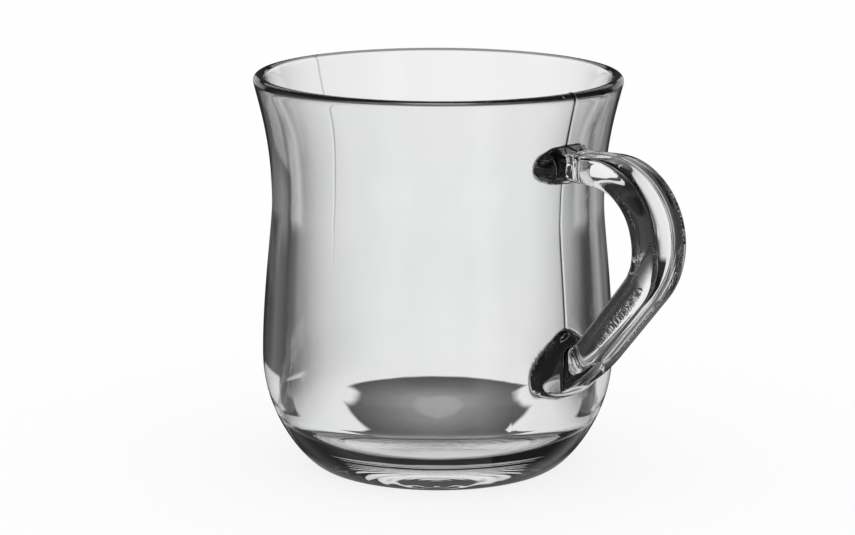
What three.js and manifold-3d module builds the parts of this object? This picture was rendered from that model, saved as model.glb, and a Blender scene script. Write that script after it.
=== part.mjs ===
// A clear glass mug: a tulip-shaped bowl with a fire-polished lip, and a strap handle fused to its side.
// Millimetres, +Z up. The origin is on the bowl's axis, in the plane that the foot rests on.
// The handle stands out along +X, so the mug is the same on both sides of the XZ plane.

import * as THREE from 'three';
import { mergeVertices } from 'three/addons/utils/BufferGeometryUtils.js';
import Module from 'manifold-3d';

// Driving dimensions of the bowl's outside
const HEIGHT = 85;
const RIM_RADIUS = 39.65;
const LIP_FLARE = THREE.MathUtils.degToRad(13.2);
const WAIST_RADIUS = 35.85;
const WAIST_HEIGHT = 57.3;
const BELLY_RADIUS = 38.15;
const BELLY_HEIGHT = 23.8;
const FOOT_RADIUS = 26.7;
const FOOT_EASE = 1.5;

// Driving dimensions of the bowl's glass, its floor and its underside
const RIM_WALL = 2.6;
const WAIST_WALL = 3.4;
const BELLY_WALL = 4.3;
const FLOOR_THICKNESS = 6.5;
const FLOOR_CORNER_RUN = 7.35;
const FLOOR_CORNER_RISE = 8;
const FOOT_RING_WIDTH = 5.2;
const PUSH_UP_DEPTH = 0.5;
const PUSH_UP_DRAFT = 1;

// Driving dimensions of the handle's bar
const HANDLE_REACH = 30.5;
const HANDLE_WIDTH = 11.2;
const HANDLE_THICKNESS = 7.3;
const HANDLE_NECK_THICKNESS = 5.3;
const HANDLE_ARM_THICKNESS = 6.7;
const HANDLE_BEND_RADIUS = 14;
const HANDLE_ARM_SLOPE = THREE.MathUtils.degToRad(49.5);
const UPPER_ROOT_HEIGHT = 70.3;
const LOWER_ROOT_HEIGHT = 24;
const LOWER_ROOT_TURN = 9;
const ROOT_SPREAD = 1.8;
const ROOT_FILLET = 4;

// Driving dimensions of the pads that the handle is stuck to the bowl with, and of the joint's gap
const UPPER_PAD_WIDTH = 16.8;
const UPPER_PAD_HEIGHT = 8.2;
const UPPER_PAD_DROP = 0.4;
const LOWER_PAD_WIDTH = 19;
const LOWER_PAD_HEIGHT = 14.4;
const LOWER_PAD_RISE = 3.9;
const PAD_STAND = 2.4;
const ROOT_DEPTH = 2;
const JOINT_GAP = 0.3;

// Shares of a stretch's height, or of the floor corner's run and rise, that its curve keeps its direction over
const HEEL_HOLD = 0.6;
const BELLY_HOLD = 0.39;
const WAIST_HOLD_BELOW = 0.14;
const WAIST_HOLD_ABOVE = 0.51;
const LIP_HOLD = 0.21;
const FLOOR_CORNER_HOLD = 0.55;

// Where along the bar it is thickest, how square its section is (2 is an ellipse), how egg-shaped a pad is
const THICKEST_SHARE = 0.42;
const BAR_SQUARENESS = 4;
const UPPER_PAD_TAPER = 0;
const LOWER_PAD_TAPER = 0.5;

// How fine the curved faces are
const TURN_SEGMENTS = 72;
const CURVE_SEGMENTS = 7;
const LIP_SEGMENTS = 8;
const BAR_RINGS = 60;
const BAR_SIDES = 20;
const PAD_SEGMENTS = 24;

const wasm = await Module();
wasm.setup();

const point = (radius, height) => new THREE.Vector2(radius, height);

// The wall rises from the belly through the waist to the lip, outside and inside alike
function flankCurves(bellyRadius, waistRadius, lipPoint) {
  const lowerRise = WAIST_HEIGHT - BELLY_HEIGHT;
  const upperRise = lipPoint.y - WAIST_HEIGHT;
  const lipRun = upperRise * LIP_HOLD;
  const lower = new THREE.CubicBezierCurve(
    point(bellyRadius, BELLY_HEIGHT),
    point(bellyRadius, BELLY_HEIGHT + lowerRise * BELLY_HOLD),
    point(waistRadius, WAIST_HEIGHT - lowerRise * WAIST_HOLD_BELOW),
    point(waistRadius, WAIST_HEIGHT),
  );
  const upper = new THREE.CubicBezierCurve(
    point(waistRadius, WAIST_HEIGHT),
    point(waistRadius, WAIST_HEIGHT + upperRise * WAIST_HOLD_ABOVE),
    point(lipPoint.x - Math.tan(LIP_FLARE) * lipRun, lipPoint.y - lipRun),
    lipPoint,
  );
  return [lower, upper];
}

function pointsAlong(curves, segments) {
  const points = [];
  for (const curve of curves) {
    if (points.length > 0) points.pop();
    points.push(...curve.getPoints(segments));
  }
  return points;
}

// The lip is a half round, turned with the flare so that it runs on from both faces of the wall
const lipRadius = RIM_WALL / 2;
const lipCentre = point(RIM_RADIUS - lipRadius, HEIGHT - lipRadius);
const lipOffset = point(Math.cos(LIP_FLARE), -Math.sin(LIP_FLARE)).multiplyScalar(lipRadius);
const lipOutside = lipCentre.clone().add(lipOffset);
const lipInside = lipCentre.clone().sub(lipOffset);

function outsideOutline() {
  const heel = new THREE.CubicBezierCurve(
    point(FOOT_RADIUS, 0),
    point(FOOT_RADIUS + FOOT_EASE, 0),
    point(BELLY_RADIUS, BELLY_HEIGHT * (1 - HEEL_HOLD)),
    point(BELLY_RADIUS, BELLY_HEIGHT),
  );
  return pointsAlong([heel, ...flankCurves(BELLY_RADIUS, WAIST_RADIUS, lipOutside)], CURVE_SEGMENTS);
}

function lipOutline() {
  const lip = new THREE.EllipseCurve(
    lipCentre.x, lipCentre.y, lipRadius, lipRadius, -LIP_FLARE, Math.PI - LIP_FLARE,
  );
  return lip.getPoints(LIP_SEGMENTS).slice(1, -1);
}

// The inside wall drops straight from the belly to the corner that turns it into the flat floor
function insideOutline() {
  const bellyInside = BELLY_RADIUS - BELLY_WALL;
  const floorEdge = point(bellyInside - FLOOR_CORNER_RUN, FLOOR_THICKNESS);
  const cornerTop = point(bellyInside, FLOOR_THICKNESS + FLOOR_CORNER_RISE);
  const corner = new THREE.CubicBezierCurve(
    floorEdge,
    point(floorEdge.x + FLOOR_CORNER_RUN * FLOOR_CORNER_HOLD, floorEdge.y),
    point(cornerTop.x, cornerTop.y - FLOOR_CORNER_RISE * FLOOR_CORNER_HOLD),
    cornerTop,
  );
  const flank = flankCurves(bellyInside, WAIST_RADIUS - WAIST_WALL, lipInside);
  return [...corner.getPoints(CURVE_SEGMENTS), ...pointsAlong(flank, CURVE_SEGMENTS)].reverse();
}

function undersideOutline() {
  const ringInside = FOOT_RADIUS - FOOT_RING_WIDTH;
  return [
    point(0, PUSH_UP_DEPTH),
    point(ringInside - PUSH_UP_DRAFT, PUSH_UP_DEPTH),
    point(ringInside, 0),
  ];
}

function turned(outline) {
  return new THREE.LatheGeometry(outline, TURN_SEGMENTS).rotateX(Math.PI / 2);
}

// Shared corners are merged and the collapsed triangles on the axis dropped, so that the solid is closed
function solidOf(geometry) {
  const bare = geometry.clone();
  bare.deleteAttribute('normal');
  bare.deleteAttribute('uv');
  const merged = mergeVertices(bare);
  const corners = merged.index.array;
  const triangles = [];
  for (let i = 0; i < corners.length; i += 3) {
    const [a, b, c] = corners.slice(i, i + 3);
    if (a !== b && b !== c && c !== a) triangles.push(a, b, c);
  }
  return new wasm.Manifold(new wasm.Mesh({
    numProp: 3,
    vertProperties: new Float32Array(merged.attributes.position.array),
    triVerts: new Uint32Array(triangles),
  }));
}

function geometryOf(solid) {
  const mesh = solid.getMesh();
  const geometry = new THREE.BufferGeometry();
  geometry.setAttribute('position', new THREE.BufferAttribute(mesh.vertProperties, mesh.numProp));
  geometry.setIndex(new THREE.BufferAttribute(mesh.triVerts, 1));
  geometry.computeVertexNormals();
  return geometry;
}

// Bowl
function bowlGeometry() {
  const outline = [...undersideOutline(), ...outsideOutline(), ...lipOutline(), ...insideOutline()];
  outline.push(point(0, FLOOR_THICKNESS));
  return geometryOf(solidOf(turned(outline)));
}

// The bowl's whole outside, moved out by the gap that the handle keeps from it
function bowlEnvelope() {
  const outside = [...outsideOutline(), ...lipOutline().slice(0, LIP_SEGMENTS / 2)];
  const moved = outside.map((here, i) => {
    const before = outside[Math.max(i - 1, 0)];
    const after = outside[Math.min(i + 1, outside.length - 1)];
    const along = after.clone().sub(before).normalize();
    return point(here.x + along.y * JOINT_GAP, here.y - along.x * JOINT_GAP);
  });
  return solidOf(turned([point(0, moved[0].y), ...moved, point(0, moved.at(-1).y)]));
}

function wallRadius(height) {
  const outside = outsideOutline();
  const above = Math.max(outside.findIndex((corner) => corner.y >= height), 1);
  const low = outside[above - 1];
  const high = outside[above];
  return THREE.MathUtils.mapLinear(height, low.y, high.y, low.x, high.x);
}

// The bar's centre line in the XZ plane: level out of the wall, one round bend, a straight arm, and a slight
// turn into the lower root. It starts and ends inside the wall, where the bowl's envelope cuts it off.
function barPath() {
  const upperRadius = wallRadius(UPPER_ROOT_HEIGHT);
  const lowerRadius = wallRadius(LOWER_ROOT_HEIGHT);
  const bendReach = WAIST_RADIUS + HANDLE_REACH - HANDLE_THICKNESS / 2 - HANDLE_BEND_RADIUS;
  const bend = new THREE.EllipseCurve(
    bendReach, UPPER_ROOT_HEIGHT - HANDLE_BEND_RADIUS, HANDLE_BEND_RADIUS, HANDLE_BEND_RADIUS,
    Math.PI / 2, HANDLE_ARM_SLOPE - Math.PI / 2, true,
  );
  const armStart = bend.getPoint(1);
  const armWay = point(-1, -Math.tan(HANDLE_ARM_SLOPE));
  const armEnd = armStart.clone().addScaledVector(armWay, armStart.x - lowerRadius - LOWER_ROOT_TURN);
  const path = new THREE.CurvePath();
  path.add(new THREE.LineCurve(point(upperRadius - ROOT_DEPTH, UPPER_ROOT_HEIGHT), bend.getPoint(0)));
  path.add(bend);
  path.add(new THREE.LineCurve(armStart, armEnd));
  path.add(new THREE.QuadraticBezierCurve(
    armEnd,
    armEnd.clone().addScaledVector(armWay, LOWER_ROOT_TURN / 2),
    point(lowerRadius - ROOT_DEPTH, LOWER_ROOT_HEIGHT),
  ));
  return path;
}

// The bar is thickest on its bend and thins towards both roots
function barThickness(share) {
  const fromNeck = THREE.MathUtils.smoothstep(share, 0, THICKEST_SHARE);
  const intoArm = THREE.MathUtils.smoothstep(share, THICKEST_SHARE, 1);
  const rising = THREE.MathUtils.lerp(HANDLE_NECK_THICKNESS, HANDLE_THICKNESS, fromNeck);
  return rising + (HANDLE_ARM_THICKNESS - HANDLE_THICKNESS) * intoArm;
}

// How much wider the bar is at a place near either root, where it runs into its pad along a round fillet
function rootSpread(place) {
  const way = (place.x - wallRadius(place.y)) / ROOT_FILLET;
  const left = 1 - THREE.MathUtils.clamp(way, 0, 1);
  return ROOT_SPREAD * (1 - Math.sqrt(1 - left * left));
}

const superPower = (value, power) => Math.sign(value) * Math.abs(value) ** power;

// One section of the bar: a superellipse square to the path
function barSection(path, share) {
  const centre = path.getPoint(share);
  const along = path.getTangent(share);
  const spread = rootSpread(centre);
  const halfWidth = (HANDLE_WIDTH + spread) / 2;
  const halfThickness = (barThickness(share) + spread) / 2;
  const corners = [];
  for (let i = 0; i < BAR_SIDES; i += 1) {
    const angle = (2 * Math.PI * i) / BAR_SIDES;
    const across = superPower(Math.cos(angle), 2 / BAR_SQUARENESS) * halfWidth;
    const outward = superPower(Math.sin(angle), 2 / BAR_SQUARENESS) * halfThickness;
    corners.push(new THREE.Vector3(centre.x - along.y * outward, across, centre.y + along.x * outward));
  }
  return corners;
}

// A pad is a flat dome on the wall, drawn in towards its top by its taper
function padGeometry(width, height, centreHeight, taper) {
  const pad = new THREE.SphereGeometry(1, PAD_SEGMENTS, PAD_SEGMENTS / 2).rotateX(Math.PI / 2);
  const corners = pad.attributes.position;
  for (let i = 0; i < corners.count; i += 1) {
    corners.setY(i, corners.getY(i) * (1 - taper * corners.getZ(i)) / (1 + taper ** 2 / 4));
  }
  pad.scale(PAD_STAND, width / 2, height / 2);
  return pad.translate(wallRadius(centreHeight), 0, centreHeight);
}

// A closed skin through sections of equally many corners, with a flat cap on each end
function loft(sections) {
  const sides = sections[0].length;
  const corners = sections.flat();
  const triangles = [];
  for (let ring = 0; ring < sections.length - 1; ring += 1) {
    for (let side = 0; side < sides; side += 1) {
      const next = (side + 1) % sides;
      const here = ring * sides;
      const there = here + sides;
      triangles.push(here + side, there + next, there + side);
      triangles.push(here + side, here + next, there + next);
    }
  }
  const last = (sections.length - 1) * sides;
  for (let side = 1; side < sides - 1; side += 1) {
    triangles.push(0, side + 1, side);
    triangles.push(last, last + side, last + side + 1);
  }
  const geometry = new THREE.BufferGeometry().setFromPoints(corners);
  geometry.setIndex(triangles);
  return geometry;
}

// Handle
function handleGeometry() {
  const path = barPath();
  const sections = [];
  for (let ring = 0; ring <= BAR_RINGS; ring += 1) sections.push(barSection(path, ring / BAR_RINGS));
  const upperPad = padGeometry(
    UPPER_PAD_WIDTH, UPPER_PAD_HEIGHT, UPPER_ROOT_HEIGHT - UPPER_PAD_DROP, UPPER_PAD_TAPER,
  );
  const lowerPad = padGeometry(
    LOWER_PAD_WIDTH, LOWER_PAD_HEIGHT, LOWER_ROOT_HEIGHT + LOWER_PAD_RISE, LOWER_PAD_TAPER,
  );
  const whole = solidOf(loft(sections)).add(solidOf(upperPad)).add(solidOf(lowerPad));
  return geometryOf(whole.subtract(bowlEnvelope()));
}

function glass() {
  return new THREE.MeshStandardMaterial({
    color: 0xe6ebeb,
    roughness: 0.04,
    metalness: 0,
    transparent: true,
    opacity: 0.35,
  });
}

function named(name, geometry) {
  const mesh = new THREE.Mesh(geometry, glass());
  mesh.name = name;
  return mesh;
}

const mug = new THREE.Group();
mug.add(named('bowl', bowlGeometry()));
mug.add(named('handle', handleGeometry()));

export default mug;
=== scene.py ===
"""A clear pressed-glass mug on a pale floor, seen as in the photograph."""
import math
import bpy
import numpy as np
from mathutils import Euler, Matrix, Vector


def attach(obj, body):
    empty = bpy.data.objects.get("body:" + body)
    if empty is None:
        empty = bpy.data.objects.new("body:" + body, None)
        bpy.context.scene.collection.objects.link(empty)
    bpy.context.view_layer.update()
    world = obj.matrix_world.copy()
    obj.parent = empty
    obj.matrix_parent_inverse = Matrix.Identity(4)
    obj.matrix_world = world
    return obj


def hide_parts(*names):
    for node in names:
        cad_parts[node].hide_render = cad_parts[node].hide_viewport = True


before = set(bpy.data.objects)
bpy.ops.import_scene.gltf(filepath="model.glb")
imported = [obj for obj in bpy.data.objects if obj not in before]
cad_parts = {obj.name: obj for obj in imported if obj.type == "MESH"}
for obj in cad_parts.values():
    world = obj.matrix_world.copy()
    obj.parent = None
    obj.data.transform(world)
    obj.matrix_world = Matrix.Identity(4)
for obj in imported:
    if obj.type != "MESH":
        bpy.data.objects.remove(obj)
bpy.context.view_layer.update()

MM = 0.001

# Bowl, in millimetres, as the part's source has it
HEIGHT = 85.0
RIM_RADIUS = 39.65
RIM_WALL = 2.6
LIP_FLARE = math.radians(13.2)
WAIST_RADIUS = 35.85
WAIST_HEIGHT = 57.3
BELLY_RADIUS = 38.15
BELLY_HEIGHT = 23.8
WAIST_WALL = 3.4
BELLY_WALL = 4.3
FOOT_RADIUS = 26.7
FOOT_EASE = 1.5
FLOOR_THICKNESS = 6.5
FLOOR_CORNER_RUN = 7.35
FLOOR_CORNER_RISE = 8.0
FOOT_RING_WIDTH = 5.2
PUSH_UP_DEPTH = 0.5
PUSH_UP_DRAFT = 1.0
HEEL_HOLD = 0.6
BELLY_HOLD = 0.39
WAIST_HOLD_BELOW = 0.14
WAIST_HOLD_ABOVE = 0.51
LIP_HOLD = 0.21
FLOOR_CORNER_HOLD = 0.55

# Handle bar and the pads it is stuck on by, in millimetres
HANDLE_REACH = 30.5
HANDLE_WIDTH = 11.2
HANDLE_THICKNESS = 7.3
HANDLE_NECK_THICKNESS = 5.3
HANDLE_ARM_THICKNESS = 6.7
HANDLE_BEND_RADIUS = 14.0
HANDLE_ARM_SLOPE = math.radians(49.5)
THICKEST_SHARE = 0.42
BAR_FLATNESS = 9
BAR_ROUNDNESS = 2
BAR_TAPER = 0.15
TAPER_START = 0.40
TAPER_RUN = 0.25
UPPER_ROOT_HEIGHT = 70.3
LOWER_ROOT_HEIGHT = 24.0
LOWER_ROOT_TURN = 9.0
ROOT_DEPTH = 2.0
PAD_STAND = 4.6
PAD_EDGE = 0.12
UPPER_PAD = {"width": 16.8, "height": 8.2, "centre": 69.9, "taper": 0.0}
LOWER_PAD = {"width": 19.0, "height": 14.4, "centre": 27.9, "taper": 0.5}
WALL_FILLET = 0.9
BAR_FILLET = 1.2

# Where the floor's ripples fade out above it, in millimetres
RIPPLE_RISE = 1.0
RIPPLE_FADE = 4.0

# Chill marks, as shares of the bar's half-thickness and half-width and of the rings along the handle
CHILL_PLACE = -0.2
CHILL_WIDTH = 0.11
CHILL_SIDE = 0.8
CHILL_START = 0.3
CHILL_END = 0.8
CHILL_FADE = 0.12

# How finely the glass is meshed, with two windows in the bowl's grid that the handle grows out of
UPPER_WINDOW = (62.0, 78.0)
LOWER_WINDOW = (13.0, 41.0)
WINDOW_ROWS = 16
WINDOW_STEPS = (0, .1, .2, .3, .42, .6, .85, 1.2, 1.7, 2.4, 3.3, 4.4, 5.7, 7.2, 9, 11, 13.5)
BAR_STEPS = (0, .07, .14, .21, .3, .42, .6, 1, 1.5, 2.1, 2.7, 3.3, 3.75, 4.1, 4.35, 4.55, 4.71)
SEAM_STEPS = (0, .1, .2, .3, .42, .6, .85, 1.2, 1.7)
PLAIN_COLUMNS = 92
CHART_RADIUS = 37.0
UNDER_PANEL_ROWS = 12
UNDER_STEP_ROWS = 14
FOOT_RING_ROWS = 6
UNDER_STEP_MARGIN = 0.6
UNDER_STEP_EASE = 0.4
HEEL_ROWS = 34
WAIST_ROWS = 18
NECK_ROWS = 7
LIP_ROWS = 16
LIP_ROWS_PAST_SEAM = 4
INNER_WALL_ROWS = 40
INNER_FLOOR_ROWS = 84
PAD_RINGS = 25
FILLET_RINGS = 10
BAR_RINGS = 129
ROOT_SEARCH = 14.0
ROOT_SEARCH_STEPS = 700
CURVE_STEPS = 1200


def bezier(points, shares):
    """Points on a curve of any order at the given shares of its way."""
    levels = [np.asarray(point, float) for point in points]
    share = np.asarray(shares, float)[:, None]
    while len(levels) > 1:
        levels = [(1 - share) * a + share * b for a, b in zip(levels, levels[1:])]
    return levels[0]


def smooth(share):
    share = np.clip(share, 0, 1)
    return share * share * (3 - 2 * share)


class Outline:
    """A run of points in a plane, read by the length along it or by height."""

    def __init__(self, *runs):
        self.points = np.concatenate([run if i == 0 else run[1:] for i, run in enumerate(runs)])
        steps = np.hypot(*np.diff(self.points, axis=0).T)
        self.lengths = np.concatenate([[0], np.cumsum(steps)])
        self.total = self.lengths[-1]

    def at(self, lengths):
        parts = [np.interp(lengths, self.lengths, self.points[:, axis]) for axis in (0, 1)]
        return np.stack(parts, axis=-1)

    def length_at_height(self, heights):
        return np.interp(heights, self.points[:, 1], self.lengths)

    def radius_at_height(self, heights):
        return np.interp(heights, self.points[:, 1], self.points[:, 0])


FINE = np.linspace(0, 1, CURVE_STEPS)
LIP_CENTRE = np.array([RIM_RADIUS - RIM_WALL / 2, HEIGHT - RIM_WALL / 2])


def lip_point(angle):
    return LIP_CENTRE + RIM_WALL / 2 * np.array([math.cos(angle), math.sin(angle)])


def flank(belly, waist, lip):
    """The run from the belly up over the waist to the lip."""
    lower_rise = WAIST_HEIGHT - BELLY_HEIGHT
    upper_rise = lip[1] - WAIST_HEIGHT
    lower = [
        (belly, BELLY_HEIGHT),
        (belly, BELLY_HEIGHT + BELLY_HOLD * lower_rise),
        (waist, WAIST_HEIGHT - WAIST_HOLD_BELOW * lower_rise),
        (waist, WAIST_HEIGHT),
    ]
    upper = [
        (waist, WAIST_HEIGHT),
        (waist, WAIST_HEIGHT + WAIST_HOLD_ABOVE * upper_rise),
        (lip[0] - math.tan(LIP_FLARE) * LIP_HOLD * upper_rise, lip[1] - LIP_HOLD * upper_rise),
        tuple(lip),
    ]
    return bezier(lower, FINE), bezier(upper, FINE)


def outside_outline():
    heel = [
        (FOOT_RADIUS, 0),
        (FOOT_RADIUS + FOOT_EASE, 0),
        (BELLY_RADIUS, BELLY_HEIGHT * (1 - HEEL_HOLD)),
        (BELLY_RADIUS, BELLY_HEIGHT),
    ]
    return Outline(bezier(heel, FINE), *flank(BELLY_RADIUS, WAIST_RADIUS, lip_point(-LIP_FLARE)))


def inside_outline():
    """From the middle of the flat floor round its corner and up the wall to the lip."""
    inner_belly = BELLY_RADIUS - BELLY_WALL
    floor_edge = inner_belly - FLOOR_CORNER_RUN
    corner_top = FLOOR_THICKNESS + FLOOR_CORNER_RISE
    floor = [(0, FLOOR_THICKNESS), (floor_edge, FLOOR_THICKNESS)]
    corner = [
        (floor_edge, FLOOR_THICKNESS),
        (floor_edge + FLOOR_CORNER_HOLD * FLOOR_CORNER_RUN, FLOOR_THICKNESS),
        (inner_belly, corner_top - FLOOR_CORNER_HOLD * FLOOR_CORNER_RISE),
        (inner_belly, corner_top),
    ]
    wall = [(inner_belly, corner_top), (inner_belly, BELLY_HEIGHT)]
    sides = flank(inner_belly, WAIST_RADIUS - WAIST_WALL, lip_point(math.pi - LIP_FLARE))
    return Outline(bezier(floor, FINE), bezier(corner, FINE), bezier(wall, FINE), *sides)


OUTSIDE = outside_outline()
INSIDE = inside_outline()


def underside_rows():
    """The shallow panel underneath, its step and the foot ring, from the axis outwards."""
    ring_inside = FOOT_RADIUS - FOOT_RING_WIDTH
    step_start = ring_inside - PUSH_UP_DRAFT - UNDER_STEP_MARGIN
    step_end = ring_inside + UNDER_STEP_MARGIN
    radii = np.concatenate([
        np.linspace(0, step_start, UNDER_PANEL_ROWS, endpoint=False),
        np.linspace(step_start, step_end, UNDER_STEP_ROWS, endpoint=False),
        np.linspace(step_end, FOOT_RADIUS, FOOT_RING_ROWS, endpoint=False),
    ])
    step = smooth((ring_inside + UNDER_STEP_EASE - radii) / (PUSH_UP_DRAFT + 2 * UNDER_STEP_EASE))
    return np.stack([radii, PUSH_UP_DEPTH * step], axis=1)


def bowl_rows():
    """Radius and height of each ring of the bowl, from under the floor over the lip to the floor's middle.
    Also gives the first row of the outside and the first row after the lip."""
    def between(low, high, count):
        return OUTSIDE.length_at_height(np.linspace(low, high, count + 1)[:-1])

    lip_height = OUTSIDE.points[-1, 1]
    lengths = np.concatenate([
        np.linspace(0, OUTSIDE.length_at_height(LOWER_WINDOW[0]), HEEL_ROWS, endpoint=False),
        between(*LOWER_WINDOW, WINDOW_ROWS),
        between(LOWER_WINDOW[1], UPPER_WINDOW[0], WAIST_ROWS),
        between(*UPPER_WINDOW, WINDOW_ROWS),
        between(UPPER_WINDOW[1], lip_height, NECK_ROWS),
    ])
    outer = OUTSIDE.at(lengths)
    turns = np.linspace(-LIP_FLARE, math.pi - LIP_FLARE, LIP_ROWS + 1)[:-1]
    lip = np.array([lip_point(turn) for turn in turns])
    floor_length = np.interp(BELLY_HEIGHT, INSIDE.points[:, 1], INSIDE.lengths)
    inner = INSIDE.at(np.concatenate([
        np.linspace(INSIDE.total, floor_length, INNER_WALL_ROWS, endpoint=False),
        np.linspace(floor_length, 0, INNER_FLOOR_ROWS),
    ]))
    under = underside_rows()
    first_outer = len(under)
    return np.concatenate([under, outer, lip, inner]), first_outer, first_outer + len(outer) + len(lip)


def turn_angles():
    """The columns round the bowl, close together at the handle and at the mould's seams."""
    window = np.array(WINDOW_STEPS) / CHART_RADIUS
    seam = math.pi - np.array(SEAM_STEPS[::-1]) / CHART_RADIUS
    plain = np.linspace(window[-1], seam[0], PLAIN_COLUMNS + 1)[1:-1]
    half = np.concatenate([window, plain, seam])
    return np.concatenate([-half[-2:0:-1], half])


# The handle's bar
def bar_path():
    """The bar's middle line in the plane of the handle, from the upper root round to the lower root."""
    bend_reach = WAIST_RADIUS + HANDLE_REACH - HANDLE_THICKNESS / 2 - HANDLE_BEND_RADIUS
    bend_centre = np.array([bend_reach, UPPER_ROOT_HEIGHT - HANDLE_BEND_RADIUS])
    upper_wall = OUTSIDE.radius_at_height(UPPER_ROOT_HEIGHT)
    lower_wall = OUTSIDE.radius_at_height(LOWER_ROOT_HEIGHT)
    last_turn = HANDLE_ARM_SLOPE - math.pi / 2
    turns = math.pi / 2 + (last_turn - math.pi / 2) * FINE
    bend = bend_centre + HANDLE_BEND_RADIUS * np.stack([np.cos(turns), np.sin(turns)], axis=1)
    arm_way = np.array([-1, -math.tan(HANDLE_ARM_SLOPE)])
    arm_end = bend[-1] + arm_way * (bend[-1, 0] - lower_wall - LOWER_ROOT_TURN)
    root = np.array([lower_wall - ROOT_DEPTH, LOWER_ROOT_HEIGHT])
    level = bezier([(upper_wall - ROOT_DEPTH, UPPER_ROOT_HEIGHT), bend[0]], FINE)
    arm = bezier([bend[-1], arm_end], FINE)
    turn_in = bezier([arm_end, arm_end + arm_way * LOWER_ROOT_TURN / 2, root], FINE)
    return Outline(level, bend, arm, turn_in)


BAR = bar_path()
BAR_TURNS = np.unwrap(np.arctan2(*np.gradient(BAR.points, axis=0).T[::-1]))


def bar_section():
    """Half-width and half-thickness shares round the bar, from the low left corner of the upper root.
    The outer and inner faces are nearly flat, and the sides are round."""
    across = 0.5 ** (1 / BAR_FLATNESS) * np.array(BAR_STEPS) / BAR_STEPS[-1]
    across = np.concatenate([-across[:0:-1], across])
    along = 0.5 ** (1 / BAR_ROUNDNESS) * np.sin(np.linspace(-math.pi / 2, math.pi / 2, WINDOW_ROWS + 1))
    rise = (1 - np.abs(across) ** BAR_FLATNESS) ** (1 / BAR_ROUNDNESS)
    bulge = (1 - np.abs(along) ** BAR_ROUNDNESS) ** (1 / BAR_FLATNESS)
    sides = [
        (across, -rise),
        (bulge, along),
        (across[::-1], rise),
        (-bulge, along[::-1]),
    ]
    return np.concatenate([np.stack(side, axis=1)[:-1] for side in sides])


SECTION = bar_section()


def bar_points(lengths):
    """Points on the bar's skin at the given lengths along it, one for each place round the section."""
    share = lengths / BAR.total
    growing = smooth(share / THICKEST_SHARE)
    easing = smooth((share - THICKEST_SHARE) / (1 - THICKEST_SHARE))
    thickness = HANDLE_NECK_THICKNESS + (HANDLE_THICKNESS - HANDLE_NECK_THICKNESS) * growing
    thickness = thickness + (HANDLE_ARM_THICKNESS - HANDLE_THICKNESS) * easing
    turn = np.interp(lengths, BAR.lengths, BAR_TURNS)
    middle = BAR.at(lengths)
    out = SECTION[:, 1] * thickness / 2
    x = middle[..., 0] - np.sin(turn) * out
    z = middle[..., 1] + np.cos(turn) * out
    taper = BAR_TAPER * smooth((share - TAPER_START) / TAPER_RUN)
    y = SECTION[:, 0] * (1 + taper * (SECTION[:, 1] - 1)) * HANDLE_WIDTH / 2
    return np.stack([x, y, z], axis=-1)


# The wall with the pads on it
def pad_rise(pad, across, height):
    """How far a pad stands off the wall at a place on the wall."""
    up = (height - pad["centre"]) / (pad["height"] / 2)
    taper = pad["taper"]
    narrowing = np.clip(1 - taper * up, 0.2, None) / (1 + taper ** 2 / 4)
    over = (across / (pad["width"] / 2 * narrowing)) ** 2 + up ** 2
    return PAD_STAND * np.sqrt(np.clip(1 - over, 0, None)) * smooth((1 - over) / PAD_EDGE)


def wall_points(pad, across, height):
    """Points on the wall, pad and all, from their distance round the wall and their height."""
    radius = OUTSIDE.radius_at_height(height) + pad_rise(pad, across, height)
    turn = across / CHART_RADIUS
    return np.stack([radius * np.cos(turn), radius * np.sin(turn), height], axis=-1)


def root_meeting(pad, lengths):
    """For each line along the bar, the first of the given lengths at which it is clear of the wall."""
    points = bar_points(lengths[:, None])
    across = CHART_RADIUS * np.arctan2(points[..., 1], points[..., 0])
    wall = OUTSIDE.radius_at_height(points[..., 2]) + pad_rise(pad, across, points[..., 2])
    clear = np.hypot(points[..., 0], points[..., 1]) - wall
    found = []
    for line in range(len(SECTION)):
        after = int(np.argmax(clear[:, line] > 0))
        before = after - 1
        share = -clear[before, line] / (clear[after, line] - clear[before, line])
        found.append(lengths[before] + share * (lengths[after] - lengths[before]))
    return np.array(found)


def root_rings(pad, lengths, loop):
    """Rings from the window in the wall, over the pad and round the fillet on to the bar.
    Also gives the length along the bar at which each line leaves the fillet."""
    meeting = root_meeting(pad, lengths)
    onward = math.copysign(1, lengths[-1] - lengths[0])
    leaving = meeting + onward * BAR_FILLET
    corner = bar_points(meeting)
    corner_across = CHART_RADIUS * np.arctan2(corner[:, 1], corner[:, 0])
    corner_chart = np.stack([corner_across, corner[:, 2]], axis=1)
    way = loop - corner_chart
    start = corner_chart + way * (WALL_FILLET / np.hypot(*way.T))[:, None]
    rings = []
    for share in np.linspace(0, 1, PAD_RINGS + 1)[1:]:
        chart = loop + share * (start - loop)
        rings.append(wall_points(pad, chart[:, 0], chart[:, 1]))
    on_wall = rings[-1]
    corner = wall_points(pad, corner_chart[:, 0], corner_chart[:, 1])
    on_bar = bar_points(leaving)
    for share in np.linspace(0, 1, FILLET_RINGS + 1)[1:]:
        rings.append((1 - share) ** 2 * on_wall + 2 * share * (1 - share) * corner + share ** 2 * on_bar)
    return rings, leaving


def window_loop(first_row, first_column, columns, upward):
    """Places of the grid's points round a window, low left corner first, or high left corner first."""
    last_column = first_column + 2 * (len(WINDOW_STEPS) - 1)
    rows = list(range(first_row, first_row + WINDOW_ROWS + 1))
    if not upward:
        rows.reverse()
    across = list(range(first_column, last_column + 1))
    places = [(rows[0], c) for c in across[:-1]]
    places += [(r, across[-1]) for r in rows[:-1]]
    places += [(rows[-1], c) for c in across[:0:-1]]
    places += [(r, across[0]) for r in rows[:0:-1]]
    return [1 + (r - 1) * columns + c for r, c in places]


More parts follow.
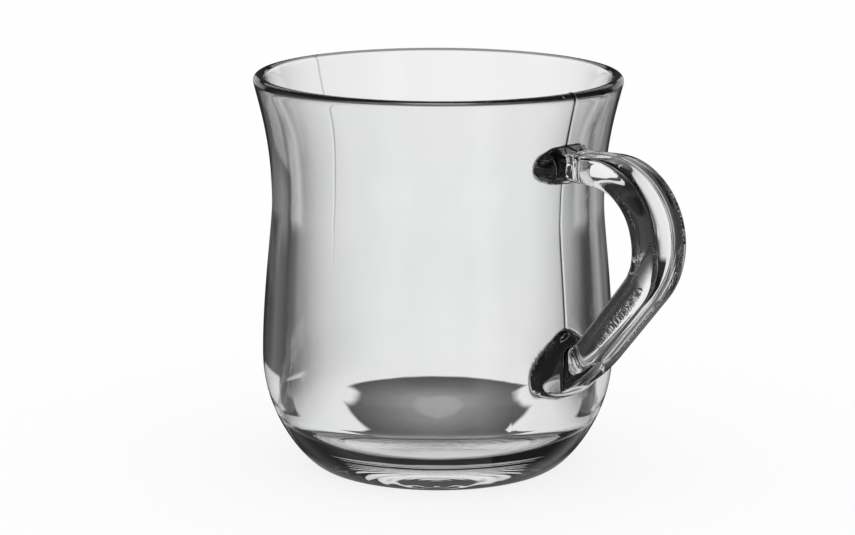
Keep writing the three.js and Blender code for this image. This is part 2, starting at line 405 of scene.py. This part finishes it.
def mug_mesh():
    """The mug as one closed skin: a turned bowl, with the handle growing out of two windows in its wall."""
    rows, first_outer, after_lip = bowl_rows()
    angles = turn_angles()
    columns = len(angles)
    rings = rows[1:-1]
    x = rings[:, :1] * np.cos(angles)
    y = rings[:, :1] * np.sin(angles)
    z = np.broadcast_to(rings[:, 1:], x.shape)
    grid = np.stack([x, y, z], axis=-1).reshape(-1, 3)
    points = [np.array([[0, 0, rows[0, 1]]]), grid, np.array([[0, 0, rows[-1, 1]]])]
    top = 1 + len(grid)

    first_column = int(np.argmin(np.abs(angles + WINDOW_STEPS[-1] / CHART_RADIUS)))
    lower_row = int(np.argmin(np.abs(rows[first_outer:after_lip, 1] - LOWER_WINDOW[0]))) + first_outer
    upper_row = int(np.argmin(np.abs(rows[first_outer:after_lip, 1] - UPPER_WINDOW[0]))) + first_outer
    window_columns = range(first_column, first_column + 2 * (len(WINDOW_STEPS) - 1))
    open_cells = {
        (r, c)
        for low in (lower_row, upper_row)
        for r in range(low, low + WINDOW_ROWS)
        for c in window_columns
    }

    def spot(row, column):
        return 1 + (row - 1) * columns + column % columns

    faces = []
    for c in range(columns):
        faces.append((0, spot(1, c + 1), spot(1, c)))
        faces.append((top, spot(len(rings), c), spot(len(rings), c + 1)))
    for r in range(1, len(rings)):
        for c in range(columns):
            if (r, c) not in open_cells:
                faces.append((spot(r, c), spot(r, c + 1), spot(r + 1, c + 1), spot(r + 1, c)))

    flat = np.concatenate(points)
    upper_loop = window_loop(upper_row, first_column, columns, True)
    lower_loop = window_loop(lower_row, first_column, columns, False)

    def chart(loop):
        at = flat[loop]
        return np.stack([CHART_RADIUS * np.arctan2(at[:, 1], at[:, 0]), at[:, 2]], axis=1)

    near = np.linspace(0, ROOT_SEARCH, ROOT_SEARCH_STEPS)
    upper_rings, upper_leaving = root_rings(UPPER_PAD, near, chart(upper_loop))
    lower_rings, lower_leaving = root_rings(LOWER_PAD, BAR.total - near, chart(lower_loop))
    bar_rings = [
        bar_points(upper_leaving + share * (lower_leaving - upper_leaving))
        for share in np.linspace(0, 1, BAR_RINGS + 2)[1:-1]
    ]
    handle_rings = upper_rings + bar_rings + lower_rings[::-1]
    around = len(SECTION)
    base = len(flat)
    strips = [upper_loop]
    strips += [list(range(base + i * around, base + (i + 1) * around)) for i in range(len(handle_rings))]
    strips.append(lower_loop)
    for here, onward in zip(strips, strips[1:]):
        for j in range(around):
            k = (j + 1) % around
            faces.append((here[j], here[k], onward[k], onward[j]))
    flat = np.concatenate([flat] + handle_rings)

    outside = np.zeros(len(flat))
    outside[spot(first_outer, 0):spot(after_lip - LIP_ROWS_PAST_SEAM, 0)] = 1
    outside[base:] = 1
    floor = np.zeros(len(flat))
    inner = slice(spot(after_lip, 0), base)
    floor[inner] = 1 - smooth((flat[inner, 2] - FLOOR_THICKNESS - RIPPLE_RISE) / RIPPLE_FADE)

    side_line = np.exp(-((SECTION[:, 1] - CHILL_PLACE) / CHILL_WIDTH) ** 2)
    side_line = side_line * (np.abs(SECTION[:, 0]) > CHILL_SIDE)
    along = np.linspace(0, 1, len(handle_rings))
    chilled = smooth((along - CHILL_START) / CHILL_FADE) * smooth((CHILL_END - along) / CHILL_FADE)
    chill = np.zeros(len(flat))
    chill[base:] = np.outer(chilled, side_line).ravel()

    used = np.unique(np.concatenate([np.array(face) for face in faces]))
    place = np.full(len(flat), -1)
    place[used] = np.arange(len(used))
    mesh = bpy.data.meshes.new("mug_glass")
    mesh.from_pydata((flat[used] * MM).tolist(), [], [[int(place[v]) for v in face] for face in faces])
    for name, values in (("outside", outside[used]), ("floor", floor[used]), ("chill", chill[used])):
        mesh.attributes.new(name, "FLOAT", "POINT").data.foreach_set("value", values.astype(np.float32))
    mesh.polygons.foreach_set("use_smooth", [True] * len(mesh.polygons))
    mesh.validate()
    return mesh


# Node trees
class Term:
    """One number in a node tree. Arithmetic on it adds Math nodes."""

    def __init__(self, sheet, socket):
        self.sheet = sheet
        self.socket = socket

    def math(self, operation, *numbers):
        return self.sheet.math(operation, *numbers)

    def __add__(self, other):
        return self.math("ADD", self, other)

    def __radd__(self, other):
        return self.math("ADD", other, self)

    def __sub__(self, other):
        return self.math("SUBTRACT", self, other)

    def __rsub__(self, other):
        return self.math("SUBTRACT", other, self)

    def __mul__(self, other):
        return self.math("MULTIPLY", self, other)

    def __rmul__(self, other):
        return self.math("MULTIPLY", other, self)

    def __truediv__(self, other):
        return self.math("DIVIDE", self, other)

    def __rtruediv__(self, other):
        return self.math("DIVIDE", other, self)

    def __gt__(self, other):
        return self.math("GREATER_THAN", self, other)

    def __lt__(self, other):
        return self.math("LESS_THAN", self, other)


class Sheet:
    """A node tree being drawn."""

    def __init__(self, tree):
        self.tree = tree
        tree.nodes.clear()

    def feed(self, socket, value):
        if isinstance(value, Term):
            value = value.socket
        if isinstance(value, bpy.types.NodeSocket):
            self.tree.links.new(value, socket)
        else:
            socket.default_value = value

    def node(self, kind, settings=None, sockets=None):
        made = self.tree.nodes.new(kind)
        for name, value in (settings or {}).items():
            if name == "stops":
                ramp = made.color_ramp.elements
                while len(ramp) < len(value):
                    ramp.new(0.5)
                for element, (position, tone) in zip(ramp, value):
                    element.position = position
                    element.color = (tone, tone, tone, 1)
            else:
                setattr(made, name, value)
        for name, value in (sockets or {}).items():
            self.feed(made.inputs[name], value)
        return made

    def term(self, node, output=0):
        return Term(self, node.outputs[output])

    def math(self, operation, *numbers):
        return self.term(self.node("ShaderNodeMath", {"operation": operation}, dict(enumerate(numbers))))

    def vector(self, operation, *vectors, **named):
        sockets = {**dict(enumerate(vectors)), **named}
        return self.node("ShaderNodeVectorMath", {"operation": operation}, sockets)

    def split(self, vector):
        parts = self.node("ShaderNodeSeparateXYZ", sockets={0: vector})
        return [self.term(parts, axis) for axis in range(3)]

    def rise(self, value, low, high):
        """0 below low, 1 above high, smooth between."""
        sockets = {"Value": value, "From Min": low, "From Max": high}
        return self.term(self.node("ShaderNodeMapRange", {"interpolation_type": "SMOOTHSTEP"}, sockets))

    def band(self, value, start, full, fading, end):
        """0 before start, 1 from full to fading, 0 after end, smooth between."""
        return self.rise(value, start, full) * (1 - self.rise(value, fading, end))

    def most(self, *numbers):
        """The greatest of some numbers."""
        greatest = numbers[0]
        for number in numbers[1:]:
            greatest = self.math("MAXIMUM", greatest, number)
        return greatest

    def ramp(self, share, stops):
        """A tone for each share of the way, straight between the stops."""
        return self.term(self.node("ShaderNodeValToRGB", {"stops": stops}, {0: share}))

    def noise(self, place, scale, detail):
        return self.term(self.node(
            "ShaderNodeTexNoise",
            sockets={"Vector": place, "Scale": scale, "Detail": detail},
        ))


# The skin of the glass: mould seams, floor ripples and a slight waviness
SEAM_NOISE = 130.0
RIPPLE_NOISE = 70.0
RIPPLE_BEND = 1.6
WAVE_NOISE = 45.0
SKIN_DETAIL = 1.0
FRONT_SEAM_FOOT = (22 * MM, 28 * MM)
FRONT_SEAM_FULL = (66 * MM, 73 * MM)
FRONT_SEAM_SHARE = 0.5
BACK_SEAM_FOOT = (30 * MM, 65 * MM)
BACK_SEAM_SHARE = 0.45
SKIN_SIZES = {
    "Seam Height": 0.16 * MM,
    "Seam Width": 0.25 * MM,
    "Seam Wander": 0.70 * MM,
    "Ripple Height": 0.025 * MM,
    "Ripple Spacing": 3.0 * MM,
    "Waviness": 0.02 * MM,
}


def glass_skin(material):
    tree = bpy.data.node_groups.new("glass_skin", "GeometryNodeTree")
    tree.interface.new_socket("Geometry", in_out="INPUT", socket_type="NodeSocketGeometry")
    for name in SKIN_SIZES:
        tree.interface.new_socket(name, in_out="INPUT", socket_type="NodeSocketFloat")
    tree.interface.new_socket("Geometry", in_out="OUTPUT", socket_type="NodeSocketGeometry")
    sheet = Sheet(tree)
    given = sheet.node("NodeGroupInput")
    size = {name: sheet.term(given, name) for name in SKIN_SIZES}
    position = sheet.node("GeometryNodeInputPosition").outputs[0]
    normal = sheet.node("GeometryNodeInputNormal").outputs[0]

    def mask(name):
        read = sheet.node("GeometryNodeInputNamedAttribute", {"data_type": "FLOAT"}, {"Name": name})
        return sheet.term(read)

    def noise(scale):
        return sheet.noise(position, scale, SKIN_DETAIL) - 0.5

    x, y, z = sheet.split(position)
    outside = mask("outside")
    floor = mask("floor")
    wander = noise(SEAM_NOISE) * size["Seam Wander"] * (x < 0)
    off_seam = (y + wander) / size["Seam Width"]
    front = FRONT_SEAM_SHARE + (1 - FRONT_SEAM_SHARE) * sheet.rise(z, *FRONT_SEAM_FULL)
    front = sheet.rise(z, *FRONT_SEAM_FOOT) * front * (x > 0)
    back = sheet.rise(z, *BACK_SEAM_FOOT) * BACK_SEAM_SHARE * (x < 0)
    ridge = sheet.math("EXPONENT", 0 - off_seam * off_seam)
    seam = ridge * size["Seam Height"] * outside * (front + back)
    radius = sheet.math("SQRT", x * x + y * y)
    rings = radius / size["Ripple Spacing"] + noise(RIPPLE_NOISE) * RIPPLE_BEND
    ripple = sheet.math("SINE", rings * math.tau) * size["Ripple Height"] * floor
    waves = noise(WAVE_NOISE) * size["Waviness"]
    lift = sheet.vector("SCALE", normal, Scale=seam + ripple + waves)
    moved = sheet.node(
        "GeometryNodeSetPosition",
        sockets={"Geometry": given.outputs["Geometry"], "Offset": lift.outputs[0]},
    )
    realized = sheet.node("GeometryNodeRealizeInstances", sockets={"Geometry": moved.outputs[0]})
    painted = sheet.node(
        "GeometryNodeSetMaterial",
        sockets={"Geometry": realized.outputs[0], "Material": material},
    )
    sheet.node("NodeGroupOutput", sockets={"Geometry": painted.outputs[0]})
    return tree


def with_skin(piece, material):
    """Puts the skin's relief into the piece's own mesh."""
    tree = glass_skin(material)
    modifier = piece.modifiers.new("glass_skin", "NODES")
    modifier.node_group = tree
    for item in tree.interface.items_tree:
        if item.in_out == "INPUT" and item.name in SKIN_SIZES:
            modifier[item.identifier] = SKIN_SIZES[item.name]
    depsgraph = bpy.context.evaluated_depsgraph_get()
    finished = bpy.data.meshes.new_from_object(piece.evaluated_get(depsgraph))
    piece.modifiers.clear()
    plain = piece.data
    piece.data = finished
    bpy.data.meshes.remove(plain)
    finished.name = piece.name


# Finishes

# A noise's edges are the values between which it comes up.
GLASS_IOR = 1.5
GLASS_TINTS = ((0.962, 0.97, 0.968, 1), (0.98, 0.982, 0.982, 1))
TINT_NOISE = 28.0
TINT_EDGES = (0.3, 0.7)
SPECKLE_NOISE = 2200.0
SPECKLE_EDGES = (0.42, 0.58)
SPECKLE_ROUGHNESS = 0.15
HAZE_NOISE = 140.0
HAZE_EDGES = (0.62, 0.8)
HAZE_ROUGHNESS = 0.02
POLISH_NOISE = 60.0
POLISH_SHARE = 0.2
PLAIN_DETAIL = 2.0
FINE_DETAIL = 3.0
BUMP_STRENGTH = 0.5
BUMP_DEPTH = 0.2 * MM
FLOOR_COLOUR = (0.98, 0.98, 0.98, 1)
WHITE = (1, 1, 1, 1)


def clear_glass():
    """Clear fire-polished glass: a faint grey tint that drifts, a trace of haze, and chill marks where the
    mould cooled the handle."""
    material = bpy.data.materials.new("clear_glass")
    material.use_nodes = True
    sheet = Sheet(material.node_tree)
    place = sheet.node("ShaderNodeTexCoord").outputs["Object"]
    chill = sheet.term(sheet.node("ShaderNodeAttribute", {"attribute_name": "chill"}), "Fac")

    drift = sheet.rise(sheet.noise(place, TINT_NOISE, PLAIN_DETAIL), *TINT_EDGES)
    tint = sheet.node(
        "ShaderNodeMix",
        {"data_type": "RGBA"},
        {0: drift, 6: GLASS_TINTS[0], 7: GLASS_TINTS[1]},
    )
    speckle = sheet.rise(sheet.noise(place, SPECKLE_NOISE, PLAIN_DETAIL), *SPECKLE_EDGES) * chill
    haze = sheet.rise(sheet.noise(place, HAZE_NOISE, FINE_DETAIL), *HAZE_EDGES) * HAZE_ROUGHNESS
    polish = sheet.noise(place, POLISH_NOISE, FINE_DETAIL)
    bump = sheet.node(
        "ShaderNodeBump",
        sockets={
            "Strength": BUMP_STRENGTH,
            "Distance": BUMP_DEPTH,
            "Height": polish * POLISH_SHARE + speckle,
        },
    )
    shell = sheet.node(
        "ShaderNodeBsdfPrincipled",
        sockets={
            "Base Color": tint.outputs[2],
            "Roughness": haze + speckle * SPECKLE_ROUGHNESS,
            "IOR": GLASS_IOR,
            "Transmission Weight": 1.0,
            "Normal": bump.outputs[0],
        },
    )
    sheet.node("ShaderNodeOutputMaterial", sockets={"Surface": shell.outputs[0]})
    return material


# The studio

# Turns and lifts are in degrees, places on the floor in millimetres, slopes are width over depth, and tones
# are shares of white. Two numbers are the ends of a soft edge, and four those of a band.
# Rays straight through the glass see soft panels with dark gaps between, and a bright room over them.
BACK_TURN = 135
LOW_PANEL_SHIFT = -0.5
SIDE_PANELS = (88, 182)
PANEL_TONES = ((0, .97), (5, .90), (9.5, .66), (14, .36), (19, .16), (24, .09), (30, .07), (40, .06))
PANEL_REACH = 40
PANEL_BOTTOM = (-38, -27)
SIDE_PANEL_FOOT = (-8, -6)
PANEL_TOP = (3, 5.5)
ROOM_FOOT = (10, 13)
ROOM_TONE = 0.85
# Rays mirrored once or twice see a dark room with strip lights at its sides and a darker ceiling, and at its
# back two pale walls and a light overhead. A low light stands on each side.
STRIP_TONES = (
    (-90, .01), (-54, .02), (-46, .13), (-31, .45), (-20, .06),
    (20, .045), (33, .18), (48, .09), (58, .12), (75, .42),
)
CEILING_LIFTS = (26, 34)
CEILING_SHADE = 0.8
WALL_LIFTS = (-10, -7, 12, 16)
WALL_TURNS = (10, 14, 42, 48)
WALL_TONE = 0.85
OVERHEAD_LIFTS = (18.8, 20.3, 34, 42)
OVERHEAD_TONE = 0.9
OVERHEAD_TURNS = (30, 42)
LOW_LIGHT_LIFTS = (-27, -24, -20, -16.5)
LOW_LIGHT_TURNS = (14, 20, 48, 56)
LOW_LIGHT_TONE = 0.42
# Rays mirrored more often see hardly any light.
DEEP_TONE = 0.012
# Painted shadow of the mug on the floor, seen only through the glass: a disc under the mug with a wedge to
# the back and front. Its tone goes with the radius, lighter in the middle as painted light through the glass
# and darker out to its edge.
SHADOW_POOL_TONES = (
    (0, .74), (20, .70), (24, .32), (30, .42), (36, .33), (41, .22), (45, .16), (50, .12), (56.5, .09),
)
SHADOW_POOL_RADIUS = 56.5
SHADOW_POOL_EDGE = 2.0
SHADOW_DISC_RADII = (27, 32)
SHADOW_WEDGE_SLOPES = (0.43, 0.47)
# Far out, painted light makes the floor paler on both sides of the back and of the front, seen only through
# the glass. For mirrored rays this painted light is fainter and reaches all across the back and the front.
FAR_FLOOR_RADII = (205, 260, 305, 335)
FAR_FLOOR_SLOPES = (0.34, 0.42, 0.55, 0.7)
FAR_FLOOR_SHARE = 0.6
MIRRORED_FLOOR_SLOPES = (1.0, 1.5)
MIRRORED_FLOOR_SHARE = 0.13
# Rays straight through one wall or through the bar see a dark patch painted on the floor on the handle's
# side, as painted shade, and painted light making the floor paler at the back.
SHADE_PATCH_SIDE = (43, 46.5)
SHADE_PATCH_LEAN = 0.1
SHADE_PATCH_NEAR_END = (-40, -20)
SHADE_PATCH_REACH = (125, 150)
SHADE_PATCH_TONE = 0.03
RIM_FLOOR_PLACES = (55, 65, 200, 260)
RIM_FLOOR_SLOPES = (0.2, 0.3)
RIM_FLOOR_SHARE = 0.3
# For the camera, the floor's own white takes this share, and the rest shows the mug's shadow.
FLOOR_GLOW = 0.8


def light_paths(sheet):
    """Shares for the camera's own rays, for rays off or through the glass, for those mirrored at all or
    three times and more, and for those that went into the glass and out again once at most."""
    path = sheet.node("ShaderNodeLightPath")
    mirrors = sheet.term(path, "Glossy Depth")
    return {
        "camera": sheet.term(path, "Is Camera Ray"),
        "off_glass": sheet.most(sheet.term(path, "Is Glossy Ray"), sheet.term(path, "Is Transmission Ray")),
        "mirrored": mirrors > 0.5,
        "often_mirrored": mirrors > 2.5,
        "one_wall": sheet.term(path, "Transmission Depth") < 2.5,
    }


def degrees(sheet, operation, *numbers):
    return sheet.math(operation, *numbers) * (180 / math.pi)


def turned(x, y, turn):
    """A direction's parts along and across a line at a turn round the mug."""
    along = math.cos(math.radians(turn))
    across = math.sin(math.radians(turn))
    return x * along + y * across, y * along - x * across


def straight_tone(sheet, x, y, lift):
    """What rays straight through the glass see in a direction."""
    def off(*turns):
        angles = []
        for turn in turns:
            along, across = turned(x, y, turn)
            angles.append(degrees(sheet, "ARCTAN2", sheet.math("ABSOLUTE", across), along))
        return sheet.math("MINIMUM", *angles)

    def panels(angle):
        return sheet.ramp(angle / PANEL_REACH, [(at / PANEL_REACH, tone) for at, tone in PANEL_TONES])

    low_turn = BACK_TURN + LOW_PANEL_SHIFT
    low_angle = off(low_turn, low_turn - 180)
    side = panels(off(*SIDE_PANELS)) * sheet.rise(lift, *SIDE_PANEL_FOOT)
    low = sheet.most(panels(low_angle), side) * sheet.band(lift, *PANEL_BOTTOM, *PANEL_TOP)
    room = sheet.rise(lift, *ROOM_FOOT) * ROOM_TONE
    return sheet.most(low, room, PANEL_TONES[-1][1])


def mirrored_tone(sheet, x, y, lift):
    """What rays mirrored once or twice see in a direction."""
    along, across = turned(x, y, BACK_TURN)
    angle = degrees(sheet, "ARCTAN2", across, sheet.math("ABSOLUTE", along))
    strips = sheet.ramp(angle / 180 + 0.5, [(at / 180 + 0.5, tone) for at, tone in STRIP_TONES])
    strips = strips * (1 - CEILING_SHADE * sheet.rise(lift, *CEILING_LIFTS))
    aside = sheet.math("ABSOLUTE", angle)
    at_back = along > 0
    wall = sheet.band(aside, *WALL_TURNS) * sheet.band(lift, *WALL_LIFTS) * WALL_TONE * at_back
    overhead = sheet.band(lift, *OVERHEAD_LIFTS) * (1 - sheet.rise(aside, *OVERHEAD_TURNS)) * OVERHEAD_TONE
    low_light = sheet.band(aside, *LOW_LIGHT_TURNS) * sheet.band(lift, *LOW_LIGHT_LIFTS) * LOW_LIGHT_TONE
    return sheet.most(strips, wall, overhead * at_back, low_light)


def floor_finish():
    """White with the mug's shadow for the camera. Rays off or through the glass see a painted shadow of the
    mug, painted shade on the handle's side and painted light on the floor further out, and elsewhere go on
    into the lower half of the studio."""
    material = bpy.data.materials.new("pale_floor")
    material.use_nodes = True
    sheet = Sheet(material.node_tree)
    paths = light_paths(sheet)
    x, y = sheet.split(sheet.node("ShaderNodeTexCoord").outputs["Object"])[:2]
    along, across = turned(x / MM, y / MM, BACK_TURN)
    radius = sheet.math("SQRT", along * along + across * across)
    slope = sheet.math("ABSOLUTE", across / along)

    def emission(tone):
        return sheet.node("ShaderNodeEmission", sockets={"Color": WHITE, "Strength": tone}).outputs[0]

    def mixed(share, first, second):
        return sheet.node("ShaderNodeMixShader", sockets={0: share, 1: first, 2: second}).outputs[0]

    # Painted shadow of the mug: an emission on the floor that only rays off or through the glass see.
    off_shadow_wedge = sheet.rise(slope, *SHADOW_WEDGE_SLOPES) * sheet.rise(radius, *SHADOW_DISC_RADII)
    past_shadow_end = sheet.rise(radius, SHADOW_POOL_RADIUS - SHADOW_POOL_EDGE, SHADOW_POOL_RADIUS + SHADOW_POOL_EDGE)
    off_shadow_pool = sheet.most(off_shadow_wedge, past_shadow_end)
    tone = sheet.ramp(radius / SHADOW_POOL_RADIUS, [(at / SHADOW_POOL_RADIUS, tone) for at, tone in SHADOW_POOL_TONES])
    tone = tone - paths["often_mirrored"] * (tone - DEEP_TONE)

    # Painted light on the far floor, seen only by rays off or through the glass.
    straight = sheet.band(slope, *FAR_FLOOR_SLOPES) * FAR_FLOOR_SHARE
    mirrored = (1 - sheet.rise(slope, *MIRRORED_FLOOR_SLOPES)) * MIRRORED_FLOOR_SHARE
    far_light = sheet.band(radius, *FAR_FLOOR_RADII) * (1 - paths["often_mirrored"])
    far_light = far_light * (straight + paths["mirrored"] * (mirrored - straight))

    one_wall = (1 - paths["mirrored"]) * paths["one_wall"]
    # Painted shade: a dark patch on the floor beside the handle, seen only straight through one wall.
    shade_patch = sheet.rise(0 - across - along * SHADE_PATCH_LEAN, *SHADE_PATCH_SIDE) * one_wall
    shade_patch = shade_patch * sheet.rise(along, *SHADE_PATCH_NEAR_END) * (1 - sheet.rise(radius, *SHADE_PATCH_REACH))
    # Painted light on the floor at the back, seen only straight through one wall.
    back_floor_light = sheet.band(along, *RIM_FLOOR_PLACES) * (1 - sheet.rise(slope, *RIM_FLOOR_SLOPES))
    back_floor_light = back_floor_light * one_wall * RIM_FLOOR_SHARE

    matt = sheet.node("ShaderNodeBsdfDiffuse", sockets={"Color": FLOOR_COLOUR}).outputs[0]
    clear = sheet.node("ShaderNodeBsdfTransparent").outputs[0]
    glow = emission(1.0)
    seen = mixed(paths["camera"] * FLOOR_GLOW, matt, glow)
    pale = mixed(sheet.most(far_light, back_floor_light), clear, glow)
    beside = mixed(shade_patch, pale, emission(SHADE_PATCH_TONE))
    through = mixed(off_shadow_pool, emission(tone), beside)
    surface = mixed(paths["off_glass"], seen, through)
    sheet.node("ShaderNodeOutputMaterial", sockets={"Surface": surface})
    return material


def studio_world():
    """White for the camera and for the light on the floor; the studio for rays off or through the glass."""
    world = bpy.data.worlds.new("studio")
    world.use_nodes = True
    sheet = Sheet(world.node_tree)
    paths = light_paths(sheet)
    x, y, z = sheet.split(sheet.node("ShaderNodeTexCoord").outputs["Generated"])
    lift = degrees(sheet, "ARCSINE", z)
    straight = straight_tone(sheet, x, y, lift)
    tone = straight + paths["mirrored"] * (mirrored_tone(sheet, x, y, lift) - straight)
    tone = tone - paths["often_mirrored"] * (tone - DEEP_TONE)
    tone = 1 - paths["off_glass"] * (1 - tone)
    light = sheet.node("ShaderNodeBackground", sockets={"Color": WHITE, "Strength": tone})
    sheet.node("ShaderNodeOutputWorld", sockets={"Surface": light.outputs[0]})
    bpy.context.scene.world = world


# The photograph's camera, from the fit to the rim's and the foot's ellipses
FRAME_WIDTH = 855
FOCAL_PIXELS = 2827.9
AXIS_PIXEL = 437.9
CAMERA_AZIMUTH = math.radians(45)
CAMERA_DISTANCE = 600.0
CAMERA_HEIGHT = 175.2
CAMERA_PITCH = math.radians(12.486)
CAMERA_ROLL = math.radians(0.163)
SENSOR_WIDTH = 36.0
CLIP_START = 0.01
CLIP_END = 50

# The floor, in metres, and the renderer
FLOOR_REACH = 6.0
FLOOR_DROP = 0.02 * MM
LIGHT_BOUNCES = 32


def photo_camera():
    data = bpy.data.cameras.new("photo_camera")
    data.sensor_width = SENSOR_WIDTH
    data.lens = FOCAL_PIXELS / FRAME_WIDTH * SENSOR_WIDTH
    data.shift_x = (FRAME_WIDTH / 2 - AXIS_PIXEL) / FRAME_WIDTH
    data.clip_start = CLIP_START
    data.clip_end = CLIP_END
    camera = bpy.data.objects.new("photo_camera", data)
    place = Vector((math.sin(CAMERA_AZIMUTH), -math.cos(CAMERA_AZIMUTH), 0)) * CAMERA_DISTANCE
    place.z = CAMERA_HEIGHT
    turn = Euler((math.pi / 2 - CAMERA_PITCH, 0, CAMERA_AZIMUTH)).to_matrix()
    roll = Matrix.Rotation(CAMERA_ROLL, 3, "Z")
    camera.matrix_world = Matrix.Translation(place * MM) @ (turn @ roll).to_4x4()
    bpy.context.scene.collection.objects.link(camera)
    bpy.context.scene.camera = camera


def pale_floor():
    mesh = bpy.data.meshes.new("floor")
    corners = [(x * FLOOR_REACH, y * FLOOR_REACH, 0) for x, y in ((-1, -1), (1, -1), (1, 1), (-1, 1))]
    mesh.from_pydata(corners, [], [(0, 1, 2, 3)])
    floor = bpy.data.objects.new("floor", mesh)
    floor.location.z = -FLOOR_DROP
    mesh.materials.append(floor_finish())
    bpy.context.scene.collection.objects.link(floor)


def render_settings():
    scene = bpy.context.scene
    scene.view_settings.view_transform = "Standard"
    scene.cycles.max_bounces = LIGHT_BOUNCES
    scene.cycles.glossy_bounces = LIGHT_BOUNCES
    scene.cycles.transmission_bounces = LIGHT_BOUNCES


photo_camera()
glass = clear_glass()
mug = bpy.data.objects.new("mug_glass", mug_mesh())
bpy.context.scene.collection.objects.link(mug)
with_skin(mug, glass)
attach(mug, "root")
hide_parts("bowl", "handle")
pale_floor()
studio_world()
render_settings()
